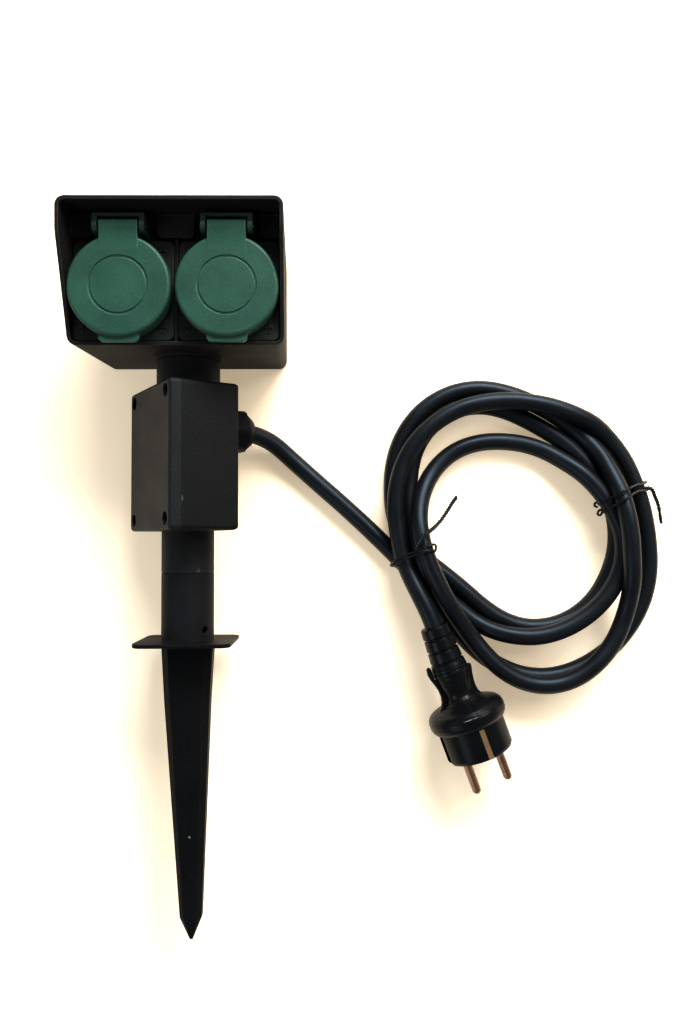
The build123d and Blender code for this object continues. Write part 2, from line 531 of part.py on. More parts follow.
# plug frame: axis toward the pins, earth contact uppermost, turned 10 degrees about the axis
PC = (149.4, -72.6, 21.25)
PA = Vector(0.3450, -0.9382, -0.0256).normalized()
PROLL = 10.1
_up = (Vector(0, 0, 1) - PA * PA.Z).normalized()
_rt = _up.cross(PA).normalized()
_c, _s = math.cos(math.radians(PROLL)), math.sin(math.radians(PROLL))
PX = _rt * _c - _up * _s
PLUG = Location(Plane(origin=PC, x_dir=PX, z_dir=PA))
FLANGE_R, BODY_R = 21.2, 18.2
FACE = 22.2
BOOT_END = -51.0

coil = slab(OUT1, 0, LAY1) - slab(HOLE, -1, LAY1 + 1) - slab(GAP_LOW, -1, LAY1 + 1) - slab(GAP_TOP, -1, LAY1 + 1)
lay2 = slab(OUT2, LAY1 - 0.5, LAY2) - slab(GAP_LOW, LAY1 - 2, LAY2 + 1)
coil += lay2
coil += slab(TOP_A, LAY2 - 0.5, LAY3)
coil += slab(TOP_B, LAY2 - 0.5, LAY3)
coil -= PLUG * cz(9.0, BOOT_END - 2.0, -20.0)
save("cord_coil", coil)

tail_pts = [(115.5, 13.0, 14.4), (119.4, 2.6, 17.0), (124.3, -7.9, 20.5), (129.4, -18.3, 22.6), (134.56, -32.24, 22.35)]
save("cord_tail", tube(tail_pts, CORD_R, "cord tail"))

# plug boot: bend relief with rings, then the collar
prof = [(CORD_R, BOOT_END), (7.3, BOOT_END), (7.8, -50.4), (8.1, -45.7), (7.3, -45.2), (7.3, -44.7), (8.1, -44.1), (8.5, -38.8),
        (7.6, -38.3), (7.6, -37.8), (8.5, -37.2), (9.0, -32.2), (8.2, -31.7), (8.2, -31.2), (9.2, -30.6), (9.6, -28.8), (9.2, -28.5),
        (9.7, -28.2), (9.8, -26.9), (9.4, -26.6), (9.8, -26.3), (9.9, -24.9), (9.6, -24.3), (0, -24.3), (0, -42.8), (CORD_R, -42.8)]
boot = revolve(Plane.XZ * make_face(Polyline(*prof, close=True)), Axis.Z)
save("plug_boot", PLUG * boot)

# plug body: waisted neck, shoulder, grip flange, front part with guide grooves and earth slots
prof = [(0, -24.2), (9.3, -24.2), (9.2, -22.4), (8.7, -19.0), (8.0, -15.9), (7.6, -13.4), (7.8, -11.6), (8.7, -10.0), (10.6, -8.4), (13.4, -7.1), (16.8, -6.1),
        (19.2, -5.0), (20.6, -3.4), (FLANGE_R, -1.4), (FLANGE_R, 1.2), (20.6, 3.0), (19.4, 4.6), (BODY_R, 5.0), (BODY_R, 20.0),
        (17.5, 21.5), (16.1, FACE), (0, FACE)]
pb = revolve(Plane.XZ * make_face(Polyline(*prof, close=True)), Axis.Z)
# thin web along both sides of the neck, longer on one side than on the other
WEB_A = [(-6.0, -24.0), (-10.2, -24.0), (-10.2, -30.8), (-11.2, -31.6), (-12.4, -30.6), (-12.8, -27.6), (-12.2, -24.4), (-11.0, -21.0),
         (-10.2, -18.0), (-10.0, -14.4), (-10.8, -10.8), (-12.4, -8.3), (-14.4, -6.4), (-6.0, -5.0)]
WEB_B = [(6.0, -24.0), (10.2, -24.0), (10.2, -25.0), (11.0, -25.6), (11.8, -25.0), (11.7, -23.4), (10.9, -20.0), (10.3, -16.4), (10.2, -12.8),
         (10.6, -10.4), (11.8, -8.2), (13.8, -6.6), (6.0, -5.0)]
for web in (WEB_A, WEB_B):
    pb += extrude(make_face(Polyline(*[(x, -1.0, z) for x, z in web], close=True)), amount=2.0, dir=(0, 1, 0))
for k in (-1, 1):
    pb -= box(-1.75, 1.75, k * 16.2, k * 22, 5.4, FACE + 1)
    pb -= box(-1.75, 1.75, k * 14.0, k * 16.3, 8.0, FACE - 3.0)
    pb -= box(k * 16.3, k * 22, -3.1, 3.1, 5.4, FACE + 1)
for k in (-9.5, 9.5):
    pb -= cz(2.2, 6.0, FACE + 1, k, 0)
save("plug_body", PLUG * pb)

pins = []
for k in (-9.5, 9.5):
    p1 = cz(2.4, FACE + 0.4, FACE + 17.0, k, 0) + (Pos(k, 0, FACE + 17.0) * Sphere(2.4) & cz(3.0, FACE + 16.9, FACE + 20.0, k, 0))
    pins.append(p1 + cz(2.2, 6.0, FACE + 1.0, k, 0))
save("plug_pins", PLUG * group(pins))
clips = []
for k in (-1, 1):
    clips.append(box(-1.6, 1.6, k * 16.3, k * 17.2, 5.6, FACE - 0.5))
save("plug_earth_clips", PLUG * group(clips))

# twist ties: thin wire over the bundle, ends twisted
WIRE_R = 0.7


def tie_frame(mx, my, ux, uy):
    return lambda u, z, n=0.0: (mx + ux * u + uy * n, my + uy * u - ux * n, z)


tl = tie_frame(122.6, 13.35, 0.9399, 0.3414)
left = [tube([tl(-15.2, 0.8), tl(-14.5, 21.4), tl(-0.6, 30.4), tl(11.0, 30.4), tl(11.4, 0.8)], WIRE_R, "left tie", [1.6, 1.6, 1.6])]
left.append(tube([(133.2, 19.2, 11.6), (133.9, 24.0, 10.2), (137.0, 29.5, 8.4), (142.0, 37.5, 6.6), (148.5, 45.5, 5.2)], WIRE_R, "left tie end"))
save("coil_tie_left", group(left))
tr = tie_frame(241.9, 46.6, 0.9096, 0.4156)
right = []
for n in (0.0, 3.4):
    right.append(tube([tr(-18.5, 0.8, n), tr(-18.2, 20.8, n), tr(-11.6, 30.2, n), tr(0.7, 30.2, n), tr(16.4, 11.6, n), tr(16.9, 0.8, n)], WIRE_R, "right tie", [1.6, 1.6, 1.6, 1.6]))
right.append(tube([(258.6, 50.6, 5.0), (260.9, 46.6, 5.2), (262.6, 41.0, 4.6), (264.6, 34.0, 4.2)], 0.9, "right tie end"))
save("coil_tie_right", group(right))
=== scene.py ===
import bpy
import math
from mathutils import Vector, Matrix


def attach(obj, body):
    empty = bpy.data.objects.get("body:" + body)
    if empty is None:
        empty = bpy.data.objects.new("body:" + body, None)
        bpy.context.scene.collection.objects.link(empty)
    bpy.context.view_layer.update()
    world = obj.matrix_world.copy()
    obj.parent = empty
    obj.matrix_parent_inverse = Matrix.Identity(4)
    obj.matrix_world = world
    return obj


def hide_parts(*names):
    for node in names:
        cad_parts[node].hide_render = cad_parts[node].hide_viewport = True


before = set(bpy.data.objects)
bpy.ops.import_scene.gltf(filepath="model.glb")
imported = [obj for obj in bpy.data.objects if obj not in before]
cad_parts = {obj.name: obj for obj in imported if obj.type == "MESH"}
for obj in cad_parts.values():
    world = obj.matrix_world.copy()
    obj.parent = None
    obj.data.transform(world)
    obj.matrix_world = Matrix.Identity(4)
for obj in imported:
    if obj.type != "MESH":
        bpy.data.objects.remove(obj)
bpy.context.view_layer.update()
scene = bpy.context.scene
MM = 0.001

# ------------------------------------------------------------------ camera
cam_data = bpy.data.cameras.new("camera")
cam_data.sensor_fit = "AUTO"
cam_data.sensor_width = 36.0
cam_data.lens = 36.0 * 820.06 / 1024.0
cam_data.clip_start, cam_data.clip_end = 0.01, 20.0
cam = bpy.data.objects.new("camera", cam_data)
scene.collection.objects.link(cam)
turn = Matrix(((0.9999222, 0.0033645, -0.0120112), (-0.0038394, 0.9992028, -0.0397372), (0.0118680, 0.0397802, 0.9991380)))
cam.matrix_world = Matrix.Translation((0.07612, 0.0198, 0.46979)) @ turn.to_4x4()
scene.camera = cam

# ------------------------------------------------------------------ cord
CORD_R = 4.85
ROUTE = [
    (5.13, 82.1, 29.58), (20.51, 82.1, 20.23), (31.79, 82.1, 13.37), (43.2, 77.6, 7.9), (53.2, 68.6, 4.85), (66.0, 57.0, 4.85), (88.0, 37.6, 4.85),
    (109.8, 16.5, 4.9), (118.6, 7.2, 4.9), (128.8, -0.2, 4.9), (138.3, -8.1, 4.9), (147.8, -16.2, 4.9), (156.9, -24.0, 6.7), (167.5, -29.1, 10.7),
    (179.2, -31.6, 12.9), (191.1, -31.7, 13.7), (202.7, -28.8, 14.3), (213.9, -23.3, 14.4), (223.9, -15.6, 14.4), (232.0, -6.1, 14.3),
    (237.4, 4.8, 14.1), (239.4, 16.6, 14.4), (237.8, 28.6, 14.5), (232.9, 39.9, 13.7), (226.2, 50.1, 12.8), (218.0, 59.0, 11.6), (208.6, 66.1, 8.4),
    (198.8, 72.5, 5.3), (187.2, 76.7, 4.9), (174.6, 78.4, 4.9), (161.9, 78.0, 4.9), (149.8, 74.6, 4.9), (139.4, 67.6, 4.9), (131.4, 57.6, 7.2),
    (126.3, 45.8, 12.8), (124.2, 33.6, 19.1), (125.5, 21.5, 23.1), (129.0, 9.9, 23.5), (133.9, -1.1, 23.4), (139.7, -11.9, 21.7),
    (146.6, -22.3, 16.8), (154.0, -32.5, 14.1), (161.8, -42.0, 14.5), (170.6, -50.3, 14.5), (181.2, -56.3, 14.2), (193.1, -58.9, 13.9),
    (205.1, -57.5, 14.0), (216.2, -52.2, 14.5), (225.6, -44.1, 14.5), (233.3, -34.4, 13.6), (238.4, -23.4, 13.3), (240.9, -11.6, 16.6),
    (241.0, 0.5, 22.4), (240.3, 12.9, 23.9), (239.8, 25.0, 24.0), (238.1, 36.8, 23.3), (236.3, 48.8, 19.3), (232.6, 60.0, 13.3), (227.7, 71.3, 9.3),
    (220.1, 80.6, 5.4), (210.7, 88.7, 4.9), (200.3, 95.6, 4.9), (189.0, 101.5, 4.9), (177.0, 106.0, 4.9), (164.6, 108.5, 4.9), (151.9, 107.9, 4.9),
    (139.7, 103.9, 4.9), (128.7, 96.6, 4.9), (120.1, 86.7, 4.9), (114.3, 75.3, 4.9), (111.3, 63.0, 4.9), (110.6, 50.2, 4.9), (111.5, 37.5, 4.9),
    (115.4, 25.8, 4.9), (122.7, 16.2, 4.9), (132.5, 8.8, 4.9), (142.5, 1.0, 4.9), (152.1, -7.1, 4.9), (161.3, -15.4, 4.9), (171.4, -22.4, 4.9),
    (182.8, -26.9, 4.9), (195.2, -27.6, 4.9), (207.5, -24.5, 4.9), (218.3, -18.3, 4.9), (227.1, -9.4, 4.9), (233.3, 1.6, 4.9), (237.5, 13.3, 4.9),
    (238.7, 25.7, 4.9), (237.2, 38.1, 4.9), (232.6, 49.9, 4.9), (225.7, 60.5, 4.9), (217.3, 69.9, 4.9), (208.1, 78.4, 4.9), (197.7, 85.1, 4.9),
    (186.6, 91.3, 4.9), (175.0, 96.4, 4.9), (162.9, 99.0, 4.9), (150.6, 97.7, 4.9), (139.2, 92.5, 4.9), (130.1, 84.1, 4.9), (123.9, 73.5, 4.9),
    (121.0, 61.4, 4.9), (120.3, 48.8, 4.9), (121.3, 36.2, 7.3), (122.9, 24.2, 12.6), (125.6, 12.2, 14.4), (129.6, 0.6, 14.3), (134.8, -10.7, 13.4),
    (141.1, -21.9, 8.8), (149.4, -31.6, 5.1), (158.3, -40.7, 4.9), (168.6, -47.9, 4.9), (179.9, -53.0, 4.9), (191.9, -55.3, 4.9),
    (204.0, -54.4, 4.9), (215.8, -50.6, 4.9), (227.0, -44.4, 4.9), (237.1, -36.5, 4.9), (245.1, -26.6, 4.9), (251.3, -15.8, 4.9), (255.2, -4.2, 4.9),
    (256.8, 8.1, 4.9), (256.4, 20.7, 4.9), (254.8, 33.3, 4.9), (252.1, 45.5, 4.9), (248.1, 57.4, 4.9), (242.7, 68.8, 4.9), (235.0, 78.9, 5.8),
    (225.1, 87.3, 10.2), (213.1, 92.4, 13.5), (201.0, 96.5, 14.5), (188.7, 99.0, 14.3), (176.3, 100.3, 13.7), (163.9, 99.5, 14.5),
    (152.0, 97.0, 14.5), (140.9, 92.2, 14.4), (130.7, 84.9, 14.5), (122.1, 75.6, 14.2), (116.2, 64.8, 13.5), (112.8, 53.0, 14.4),
    (111.7, 40.9, 14.5), (112.7, 28.6, 14.4),
    (115.5, 13.0, 14.4), (119.4, 2.6, 17.0), (124.3, -7.9, 20.5), (129.4, -18.3, 22.6), (134.56, -32.24, 22.35),
]


def nurbs(name, points, bevel, resolution=4, sides=6):
    data = bpy.data.curves.new(name, "CURVE")
    data.dimensions = "3D"
    data.bevel_depth = 1.0
    data.bevel_resolution = sides
    data.use_fill_caps = True
    line = data.splines.new("NURBS")
    line.points.add(len(points) - 1)
    for p, q in zip(line.points, points):
        p.co = (q[0] * MM, q[1] * MM, q[2] * MM, 1.0)
        p.radius = bevel
    line.order_u = 3
    line.use_endpoint_u = True
    line.resolution_u = resolution
    obj = bpy.data.objects.new(name, data)
    scene.collection.objects.link(obj)
    return obj


cord = nurbs("supply_cord", ROUTE, CORD_R * MM, 6, 10)
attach(cord, "column")
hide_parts("cord_lead", "cord_coil", "cord_tail")


# ------------------------------------------------------------------ materials
class Nodes:
    """Small helper round a material's node tree."""

    def __init__(self, name):
        self.mat = bpy.data.materials.new(name)
        self.mat.use_nodes = True
        self.t = self.mat.node_tree
        self.t.nodes.clear()
        self.out = self.t.nodes.new("ShaderNodeOutputMaterial")
        self.p = self.t.nodes.new("ShaderNodeBsdfPrincipled")
        self.t.links.new(self.p.outputs["BSDF"], self.out.inputs["Surface"])
        self.coord = self.t.nodes.new("ShaderNodeTexCoord").outputs["Object"]

    def new(self, kind, **values):
        n = self.t.nodes.new(kind)
        for k, v in values.items():
            setattr(n, k, v)
        return n

    def link(self, a, b):
        self.t.links.new(a, b)

    def noise(self, scale, detail=2.0, rough=0.5, stretch=None, distortion=0.0):
        n = self.new("ShaderNodeTexNoise")
        n.inputs["Scale"].default_value = scale
        n.inputs["Detail"].default_value = detail
        n.inputs["Roughness"].default_value = rough
        n.inputs["Distortion"].default_value = distortion
        if stretch:
            m = self.new("ShaderNodeMapping")
            m.inputs["Scale"].default_value = stretch
            self.link(self.coord, m.inputs["Vector"])
            self.link(m.outputs["Vector"], n.inputs["Vector"])
        else:
            self.link(self.coord, n.inputs["Vector"])
        return n.outputs["Fac"]

    def ramp(self, value, a, b, lo=0.0, hi=1.0):
        n = self.new("ShaderNodeMapRange", clamp=True)
        self.link(value, n.inputs["Value"])
        n.inputs["From Min"].default_value = a
        n.inputs["From Max"].default_value = b
        n.inputs["To Min"].default_value = lo
        n.inputs["To Max"].default_value = hi
        return n.outputs["Result"]

    def math(self, op, a, b=None, clamp=False):
        n = self.new("ShaderNodeMath", operation=op, use_clamp=clamp)
        for i, v in enumerate((a, b)):
            if v is None:
                continue
            if isinstance(v, (int, float)):
                n.inputs[i].default_value = v
            else:
                self.link(v, n.inputs[i])
        return n.outputs["Value"]

    def mix(self, fac, a, b):
        n = self.new("ShaderNodeMix", data_type="RGBA")
        for sock, v in ((n.inputs[0], fac), (n.inputs[6], a), (n.inputs[7], b)):
            if isinstance(v, (int, float)):
                sock.default_value = v
            elif isinstance(v, tuple):
                sock.default_value = (*v, 1.0)
            else:
                self.link(v, sock)
        return n.outputs[2]

    def round_normal(self, radius):
        n = self.new("ShaderNodeBevel", samples=4)
        n.inputs["Radius"].default_value = radius
        return n.outputs["Normal"]

    def edges(self, radius, a=0.02, b=0.25):
        # how far the rounded normal leaves the flat one: high along edges
        bev = self.round_normal(radius)
        geo = self.new("ShaderNodeNewGeometry")
        d = self.new("ShaderNodeVectorMath", operation="DOT_PRODUCT")
        self.link(bev, d.inputs[0])
        self.link(geo.outputs["Normal"], d.inputs[1])
        return self.ramp(self.math("SUBTRACT", 1.0, d.outputs["Value"]), a, b)

    def bump(self, height, strength, distance, normal=None):
        n = self.new("ShaderNodeBump")
        n.inputs["Strength"].default_value = strength
        n.inputs["Distance"].default_value = distance
        self.link(height, n.inputs["Height"])
        if normal is not None:
            self.link(normal, n.inputs["Normal"])
        return n.outputs["Normal"]

    def near(self, point, radius):
        # 1 at a point of the object, 0 past the radius
        d = self.new("ShaderNodeVectorMath", operation="DISTANCE")
        self.link(self.coord, d.inputs[0])
        d.inputs[1].default_value = [c * MM for c in point]
        return self.ramp(d.outputs["Value"], radius * MM * 0.35, radius * MM, 1.0, 0.0)

    def along(self, axis, origin=(0.0, 0.0, 0.0)):
        # distance along an axis from a point of the object, in millimetres
        d = self.new("ShaderNodeVectorMath", operation="DOT_PRODUCT")
        self.link(self.coord, d.inputs[0])
        d.inputs[1].default_value = [c / MM for c in axis]
        return self.math("SUBTRACT", d.outputs["Value"], sum(a * b for a, b in zip(axis, origin)))

    def band(self, axis, origin, half):
        # 1 on a plane through the point, 0 past half the width
        return self.ramp(self.math("ABSOLUTE", self.along(axis, origin)), half * 0.5, half, 1.0, 0.0)


def moulded(name, base, rough=0.55, spread=0.12, grain=1500.0, depth=0.25, edge=(0.05, 0.05, 0.05), edge_amount=0.5, bevel=0.0006,
            spec=0.22, tint=None, scuffs=(), streak=None, coat=0.0, wear_scale=220.0, speckle=0.35, calm=None, core=None, strap_painted_light=None):
    """Moulded plastic: fine texture, slight mottling, paler worn edges and small scuffs; optionally a painted sheen
    near a tube axis and painted light on a lid's sloping strap.
    """
    m = Nodes(name)
    p = m.p
    p.inputs["Specular IOR Level"].default_value = spec
    if coat:
        p.inputs["Coat Weight"].default_value = coat
        p.inputs["Coat Roughness"].default_value = 0.25
    blotch = m.noise(38.0, 3.0, 0.55)
    fine = m.noise(grain, 2.0, 0.6)
    dark = tuple(c * 0.80 for c in base)
    light = tuple(c * 1.25 for c in base)
    col = m.mix(m.ramp(blotch, 0.3, 0.7), dark, light)
    if tint:
        col = m.mix(m.ramp(m.noise(16.0, 2.0), 0.42, 0.68, 0.0, 0.5), col, tint)
    if core:
        # painted sheen: paler near the tube axis, which runs along y at the given height, standing in for the sheen
        # that the tube and neck catch: height, radius, colour, y where it ends
        r = m.math("SQRT", m.math("ADD", m.math("POWER", m.along((1, 0, 0)), 2.0), m.math("POWER", m.along((0, 0, 1), (0, 0, core[0])), 2.0)))
        painted_sheen_mask = m.math("MULTIPLY", m.ramp(r, core[1], core[1] + 0.8, 1.0, 0.0), m.ramp(m.along((0, 1, 0)), core[3] - 0.5, core[3] + 0.5))
        col = m.mix(painted_sheen_mask, col, m.mix(m.ramp(blotch, 0.3, 0.7), tuple(c * 0.85 for c in core[2]), tuple(c * 1.2 for c in core[2])))
    if strap_painted_light:
        # painted light on the sloping strap of a lid: it starts painted as pale as the lid looks, to offset the shade
        # its tilt gives it, and darkens to its own tone: distance of the strap's middle from x = 0, half width, y at
        # the start and end, least height, colour at the start
        away = m.math("ABSOLUTE", m.math("SUBTRACT", m.math("ABSOLUTE", m.along((1, 0, 0))), strap_painted_light[0]))
        on = m.math("MULTIPLY", m.ramp(away, strap_painted_light[1], strap_painted_light[1] + 0.3, 1.0, 0.0), m.ramp(m.along((0, 1, 0)), strap_painted_light[2] - 0.3, strap_painted_light[2]))
        on = m.math("MULTIPLY", on, m.ramp(m.along((0, 1, 0)), strap_painted_light[2] + 0.5, strap_painted_light[3], 1.0, 0.0))
        on = m.math("MULTIPLY", on, m.ramp(m.along((0, 0, 1)), strap_painted_light[4], strap_painted_light[4] + 0.2))
        col = m.mix(on, col, strap_painted_light[5])
    speck = m.noise(1500.0, 2.0, 0.6)
    col = m.mix(m.ramp(speck, 0.52, 0.72, 0.0, speckle), col, tuple(min(1.0, c * 2.6 + 0.008) for c in base))
    wear = m.noise(wear_scale, 3.0, 0.65)
    mask = m.math("MULTIPLY", m.edges(bevel * 1.6), m.ramp(wear, 0.36, 0.62, 0.25, 1.0))
    mask = m.math("MULTIPLY", mask, edge_amount)
    if calm:
        # no wear at a joint: axis, point on it, then where the wear starts and is full
        mask = m.math("MULTIPLY", mask, m.ramp(m.along(calm[0], calm[1]), calm[2], calm[3], 0.06, 1.0))
    col = m.mix(mask, col, edge)
    rgh = m.ramp(blotch, 0.25, 0.75, rough - spread * 0.5, rough + spread * 0.5)
    for point, radius, colour in scuffs:
        near = m.near(point, radius)
        broken = m.ramp(m.noise(900.0, 3.0, 0.7), 0.44, 0.56)
        col = m.mix(m.math("MULTIPLY", near, broken), col, colour)
    # random pale scratch lines; the painted rim highlight belongs to the plug alone
    scratch_and_rim_highlight = m.noise(90.0, 2.0, 0.6, stretch=(14.0, 0.6, 3.0), distortion=0.4)
    line = m.ramp(scratch_and_rim_highlight, 0.70, 0.74, 0.0, 0.12)
    col = m.mix(line, col, tuple(min(1.0, c * 3.0 + 0.01) for c in base))
    m.link(col, p.inputs["Base Color"])
    m.link(m.math("ADD", rgh, m.ramp(fine, 0.3, 0.7, -0.04, 0.06)), p.inputs["Roughness"])
    n = m.bump(fine, depth, 0.00012, m.round_normal(bevel))
    if streak:
        n = m.bump(m.noise(60.0, 2.0, 0.5, stretch=streak), 0.25, 0.0002, n)
    m.link(n, p.inputs["Normal"])
    return m.mat


def metal(name, base, rough=0.28, spread=0.18, stretch=(1.0, 1.0, 1.0), grain=500.0, stain=(0.20, 0.13, 0.07), stain_amount=0.4, bevel=0.0003):
    m = Nodes(name)
    p = m.p
    p.inputs["Metallic"].default_value = 1.0
    brushed = m.noise(grain, 3.0, 0.6, stretch=stretch)
    blotch = m.noise(160.0, 4.0, 0.6)
    col = m.mix(m.ramp(brushed, 0.3, 0.7), tuple(c * 0.85 for c in base), base)
    col = m.mix(m.ramp(blotch, 0.48, 0.72, 0.0, stain_amount), col, stain)
    m.link(col, p.inputs["Base Color"])
    m.link(m.ramp(blotch, 0.2, 0.8, rough - spread * 0.4, rough + spread), p.inputs["Roughness"])
    m.link(m.bump(brushed, 0.12, 0.00008, m.round_normal(bevel)), p.inputs["Normal"])
    return m.mat


def rubber(name, base, rough=0.40, spec=0.5, coat=0.0, dust=0.25, seam=None, scratch_and_rim_highlight=None, sheen=0.04, tint=None):
    m = Nodes(name)
    p = m.p
    p.inputs["Specular IOR Level"].default_value = spec
    p.inputs["Sheen Weight"].default_value = sheen
    p.inputs["Sheen Roughness"].default_value = 0.4
    if tint:
        p.inputs["Specular Tint"].default_value = (*tint, 1.0)
    if coat:
        p.inputs["Coat Weight"].default_value = coat
        p.inputs["Coat Roughness"].default_value = 0.22
    blotch = m.noise(45.0, 4.0, 0.6)
    fine = m.noise(900.0, 3.0, 0.6)
    col = m.mix(m.ramp(blotch, 0.3, 0.7), tuple(c * 0.8 for c in base), tuple(c * 1.3 for c in base))
    lint = m.noise(1900.0, 1.0, 0.5)
    col = m.mix(m.ramp(lint, 0.70, 0.82, 0.0, dust), col, (0.10, 0.10, 0.105))
    rub = m.noise(28.0, 3.0, 0.65)
    col = m.mix(m.ramp(rub, 0.55, 0.75, 0.0, 0.35), col, tuple(c * 2.4 for c in base))
    # on the plug this is a painted highlight: a thin pale line along the flange's upper rim, near a point and within a
    # band across an axis
    if scratch_and_rim_highlight:
        near = m.math("MULTIPLY", m.near(scratch_and_rim_highlight[0], scratch_and_rim_highlight[1]), m.band(scratch_and_rim_highlight[2], scratch_and_rim_highlight[0], scratch_and_rim_highlight[3]))
        broken = m.ramp(m.noise(700.0, 2.0, 0.7), 0.40, 0.55, 0.2, 1.0)
        col = m.mix(m.math("MULTIPLY", near, broken), col, (0.35, 0.36, 0.38))
    m.link(col, p.inputs["Base Color"])
    m.link(m.math("ADD", m.ramp(blotch, 0.2, 0.8, rough - 0.06, rough + 0.10), m.ramp(fine, 0.3, 0.7, -0.03, 0.04)), p.inputs["Roughness"])
    wave = m.noise(14.0, 2.0, 0.5)
    n = m.bump(fine, 0.12, 0.00010, m.round_normal(0.0004))
    n = m.bump(wave, 0.20, 0.0012, n)
    if seam:
        n = m.bump(m.math("SUBTRACT", 1.0, m.band(seam[1], seam[0], 0.35)), 0.8, 0.0004, n)
    m.link(n, p.inputs["Normal"])
    return m.mat


BLACK = (0.0065, 0.0063, 0.0062)
WORN = (0.060, 0.060, 0.061)
SCUFF = (0.42, 0.42, 0.42)

M = {}
RUST = (0.10, 0.055, 0.045)
BOX_Z = (-0.8545, 0.0, 0.5195)          # out of the cover of the turned box
BOX_AT = (0.0, 0.0, 32.7)
M["shell"] = moulded("head_shell_plastic", (0.0098, 0.0092, 0.0083), 0.60, edge=(0.075, 0.075, 0.073), edge_amount=0.7, depth=0.42,
                     bevel=0.0007, tint=(0.018, 0.0160, 0.0125), spec=0.15, speckle=0.6,
                     scuffs=[((53.8, 157.3, 86.5), 2.2, SCUFF), ((53.8, 153.0, 84.0), 1.2, SCUFF)])
M["back"] = moulded("back_plate_plastic", BLACK, 0.62, depth=0.28, edge=WORN)
# the core colour is a painted sheen on the box's tube and neck
M["box"] = moulded("box_plastic", (0.0054, 0.0053, 0.0053), 0.58, edge=(0.085, 0.085, 0.085), edge_amount=0.75, depth=0.45, bevel=0.0008,
                   spec=0.17, speckle=0.6, calm=(tuple(-c for c in BOX_Z), BOX_AT, -15.2, -12.6), core=(32.7, 17.2, (0.0145, 0.0140, 0.0142), -60.0),
                   scuffs=[((2.8, 41.6, 66.4), 0.8, (0.10, 0.10, 0.10)), ((2.8, 42.8, 66.4), 0.8, (0.10, 0.10, 0.10)), ((2.8, 44.0, 66.4), 0.8, (0.10, 0.10, 0.10)), ((-11.8, 6.9, 39.8), 1.5, RUST), ((7.4, 6.6, 44.2), 1.5, RUST)])
M["cover"] = moulded("cover_plastic", (0.0088, 0.0094, 0.0104), 0.55, edge=(0.085, 0.085, 0.085), edge_amount=0.75, depth=0.42, bevel=0.0007,
                     speckle=0.6, calm=(BOX_Z, BOX_AT, 15.7, 18.4))
# the core colour is a painted sheen on the spike's tube
M["spike"] = moulded("spike_plastic", (0.0048, 0.0048, 0.0049), 0.50, edge=(0.040, 0.040, 0.041), edge_amount=0.35, depth=0.22, bevel=0.0007,
                     streak=(3.0, 0.35, 3.0), spec=0.08, speckle=0.5, core=(32.7, 14.2, (0.0125, 0.0123, 0.0124), -29.8), scuffs=[((1.9, -131.9, 37.4), 1.0, SCUFF), ((-11.6, 4.9, 40.0), 1.2, RUST)])
M["frame"] = moulded("outlet_frame_plastic", (0.0135, 0.0160, 0.0120), 0.52, edge=(0.055, 0.065, 0.055), edge_amount=0.6, depth=0.20, bevel=0.0005)
M["bracket"] = moulded("hinge_bracket_plastic", (0.0165, 0.0315, 0.0215), 0.50, edge=(0.06, 0.10, 0.075), edge_amount=0.6, depth=0.18, bevel=0.0004)
# the strap colour is painted light on each lid's sloping strap, offsetting the shade of its tilt
M["lid"] = moulded("lid_plastic", (0.0238, 0.0705, 0.0448), 0.42, spread=0.08, edge=(0.10, 0.24, 0.18), edge_amount=0.55, depth=0.24, bevel=0.0006, strap_painted_light=(26.05, 9.3, 162.7, 172.0, 78.9, (0.0310, 0.0860, 0.0565)),
                   tint=(0.0205, 0.066, 0.050), wear_scale=120.0, spec=0.28, speckle=0.25)
M["gland"] = moulded("gland_plastic", (0.0050, 0.0050, 0.0050), 0.42, edge=WORN, edge_amount=0.6, depth=0.12, bevel=0.0005, spec=0.12)
M["nylon"] = moulded("nylon", (0.52, 0.50, 0.45), 0.45, edge=(0.62, 0.60, 0.55), edge_amount=0.3, depth=0.1, bevel=0.0003)
M["seal"] = rubber("seal_rubber", (0.016, 0.016, 0.016), 0.62)
M["cord"] = rubber("cord_sheath", (0.0070, 0.0073, 0.0080), 0.39, spec=0.26, sheen=0.004, tint=(0.72, 0.87, 1.0))
PLUG_AT = (149.4, -72.6, 21.25)
PLUG_X, PLUG_Z = (0.922, 0.344, -0.175), (0.3450, -0.9382, -0.0256)
# the last argument paints a highlight as a pale line along the flange's upper rim
M["plug"] = rubber("plug_rubber", (0.0036, 0.0037, 0.0042), 0.27, spec=0.17, dust=0.35, sheen=0.0, seam=(PLUG_AT, PLUG_X),
                   scratch_and_rim_highlight=((148.5, -71.0, 41.5), 5.0, PLUG_Z, 0.28))
M["core"] = rubber("core_insulation", (0.16, 0.07, 0.03), 0.4)
M["wire"] = rubber("tie_coating", (0.0050, 0.0050, 0.0052), 0.40, spec=0.25, sheen=0.0)
M["steel"] = metal("screw_steel", (0.42, 0.42, 0.41), 0.34, stain=(0.10, 0.09, 0.08))
M["dark"] = metal("plate_screw_steel", (0.055, 0.055, 0.052), 0.42, stain=(0.02, 0.02, 0.018), stain_amount=0.7)
M["dull"] = metal("cover_screw_steel", (0.16, 0.16, 0.16), 0.45, stain=(0.04, 0.035, 0.03), stain_amount=0.7)
M["brass"] = metal("contact_brass", (0.66, 0.47, 0.20), 0.26, stain=(0.30, 0.18, 0.08))
M["pin"] = metal("pin_plate", (0.40, 0.25, 0.16), 0.26, spread=0.14, stretch=(1.0, 1.0, 1.0), stain=(0.15, 0.08, 0.05), stain_amount=0.55)
M["clip"] = metal("clip_plate", (0.64, 0.42, 0.23), 0.30, stain=(0.40, 0.26, 0.13))

